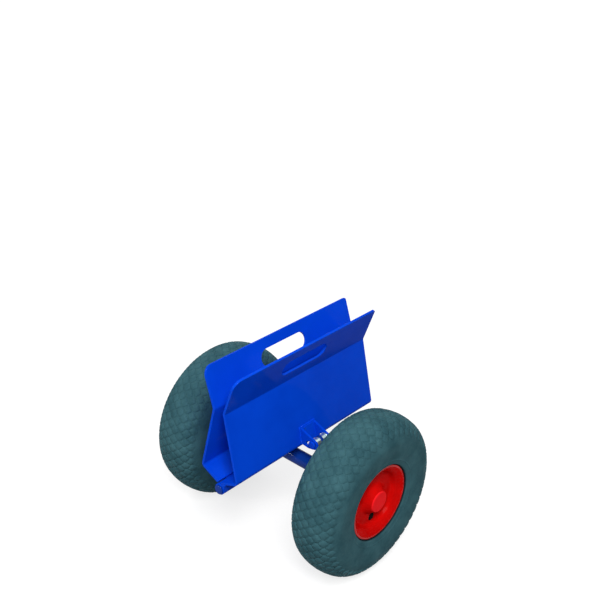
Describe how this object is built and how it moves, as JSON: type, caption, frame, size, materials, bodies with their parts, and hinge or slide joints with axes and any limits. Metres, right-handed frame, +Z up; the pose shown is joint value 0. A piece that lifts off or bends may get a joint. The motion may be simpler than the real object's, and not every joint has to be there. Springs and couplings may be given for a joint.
{
  "type": "panel dolly",
  "caption": "Two-wheeled panel dolly: hinged steel jaws on a rigid axle close on a panel's edge under its own weight, on air-free tyres.",
  "frame": {"origin": "on the floor, below the middle of the axle", "axes": "+Z up, Y along the axle, X along the jaws, the way the dolly rolls; the near side is -Y"},
  "size_m": [0.315, 0.3722, 0.3395],
  "materials": {
    "jaw_blue": "glossy blue powder coat",
    "axle_blue": "glossy blue powder coat",
    "zinc": "bright zinc plate",
    "steel": "bare ground steel",
    "rim_red": "glossy moulded plastic",
    "cap_red": "satin moulded plastic",
    "tyre_rubber": "matt foamed rubber with a block tread",
    "cage_plastic": "plain moulded plastic"
  },
  "bodies": {
    "chassis": {"axle_tube": "axle_blue", "axle_cross_pins": "steel", "near_stub_axle": "steel", "near_thrust_washers": "zinc", "near_axle_ring": "steel", "near_post": "axle_blue", "near_pivot_pin": "zinc", "near_pivot_ring": "steel", "near_pivot_washers": "zinc", "near_pivot_spacers": "zinc", "far_stub_axle": "steel", "far_thrust_washers": "zinc", "far_axle_ring": "steel", "far_post": "axle_blue", "far_pivot_pin": "zinc", "far_pivot_ring": "steel", "far_pivot_washers": "zinc", "far_pivot_spacers": "zinc"},
    "hinge_pins": {"left_hinge_pin": "axle_blue", "left_hinge_ring": "steel", "right_hinge_pin": "axle_blue", "right_hinge_ring": "steel"},
    "near_jaw": {"near_jaw": "jaw_blue", "near_knuckles": "jaw_blue", "near_bracket": "jaw_blue"},
    "far_jaw": {"far_jaw": "jaw_blue", "far_knuckles": "jaw_blue", "far_bracket": "jaw_blue"},
    "near_wheel": {"near_tyre": "tyre_rubber", "near_outer_rim": "rim_red", "near_inner_rim": "rim_red", "near_rim_screws": "zinc", "near_hub_sleeve": "steel", "near_inner_roller_cage": "cage_plastic", "near_inner_rollers": "steel", "near_outer_roller_cage": "cage_plastic", "near_outer_rollers": "steel", "near_hub_cap": "cap_red"},
    "far_wheel": {"far_tyre": "tyre_rubber", "far_outer_rim": "rim_red", "far_inner_rim": "rim_red", "far_rim_screws": "zinc", "far_hub_sleeve": "steel", "far_inner_roller_cage": "cage_plastic", "far_inner_rollers": "steel", "far_outer_roller_cage": "cage_plastic", "far_outer_rollers": "steel", "far_hub_cap": "cap_red"}
  },
  "joints": [
    {"name": "near_jaw_swing", "type": "hinge", "parent": "hinge_pins", "child": "near_jaw", "pos_m": [0, 0, 0.144], "axis": [1, 0, 0], "range_deg": [-3.2, 15]},
    {"name": "far_jaw_swing", "type": "hinge", "parent": "hinge_pins", "child": "far_jaw", "pos_m": [0, 0, 0.144], "axis": [1, 0, 0], "range_deg": [-15, 3.2]},
    {"name": "hinge_rise", "type": "slide", "parent": "chassis", "child": "hinge_pins", "axis": [0, 0, 1], "range_m": [-0.0035, 0.0163]},
    {"name": "near_wheel_spin", "type": "hinge", "parent": "chassis", "child": "near_wheel", "pos_m": [0, -0.144, 0.13], "axis": [0, 1, 0], "continuous": true},
    {"name": "far_wheel_spin", "type": "hinge", "parent": "chassis", "child": "far_wheel", "pos_m": [0, 0.144, 0.13], "axis": [0, 1, 0], "continuous": true}
  ],
  "couplings": [
    {"joint": "far_jaw_swing", "follows": "near_jaw_swing", "ratio": -1},
    {"joint": "hinge_rise", "follows": "near_jaw_swing", "m_per_rad": 0.062155}
  ]
}
